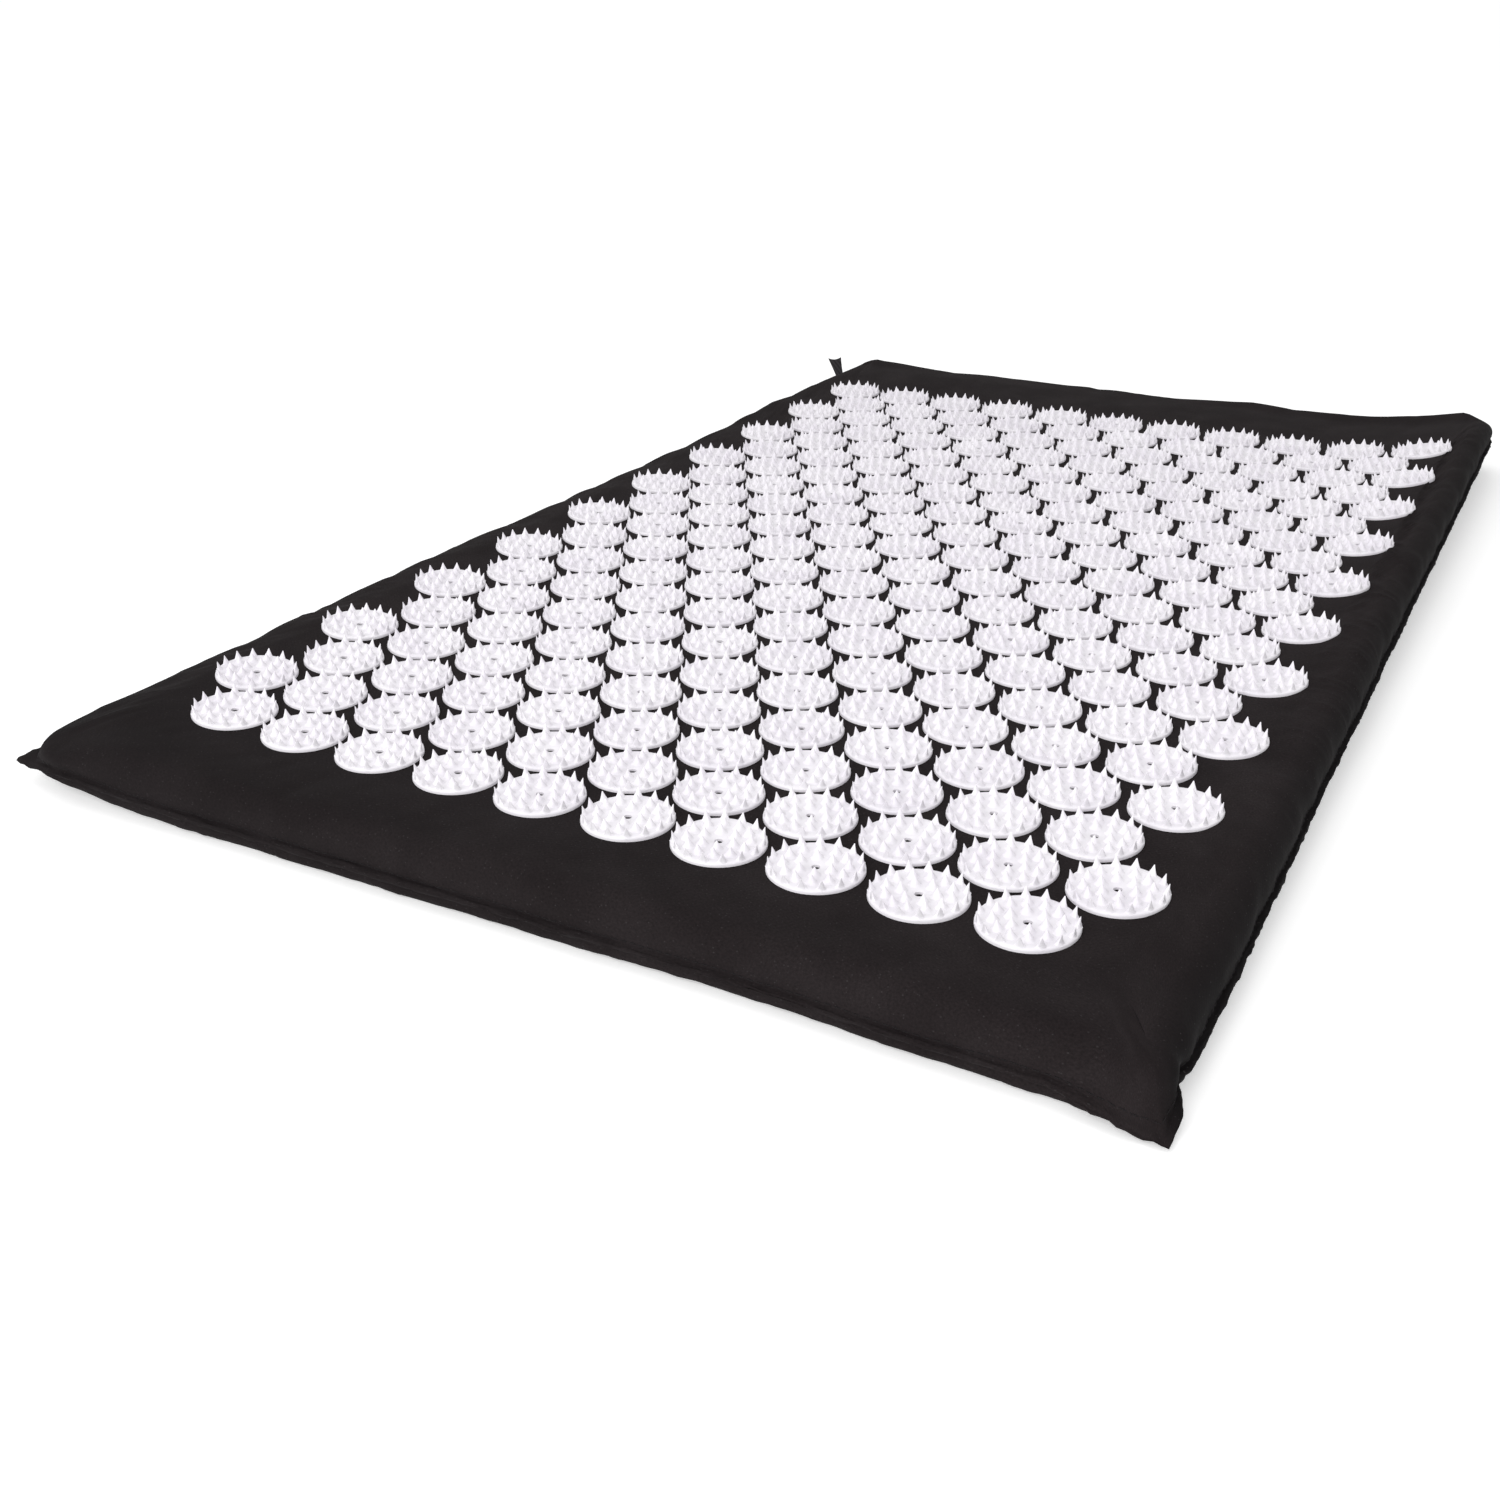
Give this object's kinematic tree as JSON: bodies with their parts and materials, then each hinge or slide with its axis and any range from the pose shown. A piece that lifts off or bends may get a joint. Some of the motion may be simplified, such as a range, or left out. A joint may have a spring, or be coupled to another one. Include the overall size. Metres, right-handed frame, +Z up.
{
  "type": "acupressure mat",
  "caption": "Thin padded mat in a black cotton cover, its top set with rows of round white plastic discs that carry moulded spikes, with a zip along one short end.",
  "frame": {"origin": "middle of the mat's flat underside, on the surface it lies on", "axes": "+X across the mat, +Y along it towards the short end with the zip, +Z up out of the spiked side"},
  "size_m": [0.4244, 0.689, 0.0337],
  "materials": {
    "disc_plastic": "moulded, satin",
    "cover_cotton": "plain woven, matt",
    "pad_foam": "open cell foam",
    "zip_tape": "woven tape",
    "zip_teeth": "nylon coil",
    "zip_metal": "black enamel"
  },
  "bodies": {
    "mat": {"disc_row_01": "disc_plastic", "disc_row_02": "disc_plastic", "disc_row_03": "disc_plastic", "disc_row_04": "disc_plastic", "disc_row_05": "disc_plastic", "disc_row_06": "disc_plastic", "disc_row_07": "disc_plastic", "disc_row_08": "disc_plastic", "disc_row_09": "disc_plastic", "disc_row_10": "disc_plastic", "disc_row_11": "disc_plastic", "disc_row_12": "disc_plastic", "disc_row_13": "disc_plastic", "disc_row_14": "disc_plastic", "disc_row_15": "disc_plastic", "disc_row_16": "disc_plastic", "disc_row_17": "disc_plastic", "disc_row_18": "disc_plastic", "disc_row_19": "disc_plastic", "disc_row_20": "disc_plastic", "foam_pad": "pad_foam", "cover_top_panel": "cover_cotton", "cover_far_strip": "cover_cotton", "cover_bottom_panel": "cover_cotton", "zip_tape_upper": "zip_tape", "zip_tape_lower": "zip_tape", "zip_teeth_upper": "zip_teeth", "zip_teeth_lower": "zip_teeth", "zip_bottom_stop": "zip_metal", "zip_top_stop_upper": "zip_metal", "zip_top_stop_lower": "zip_metal", "zip_tape_tail": "zip_tape"},
    "slider": {"zip_slider": "zip_metal"},
    "pull": {"zip_pull": "zip_metal"}
  },
  "joints": [
    {"name": "zip_slide", "type": "slide", "parent": "mat", "child": "slider", "axis": [1, 0, 0], "range_m": [-0.2348, 0]},
    {"name": "pull_hinge", "type": "hinge", "parent": "slider", "child": "pull", "pos_m": [0.0825, 0.34235, 0.006], "axis": [0, 0, 1], "range_deg": [-172, 0]}
  ]
}
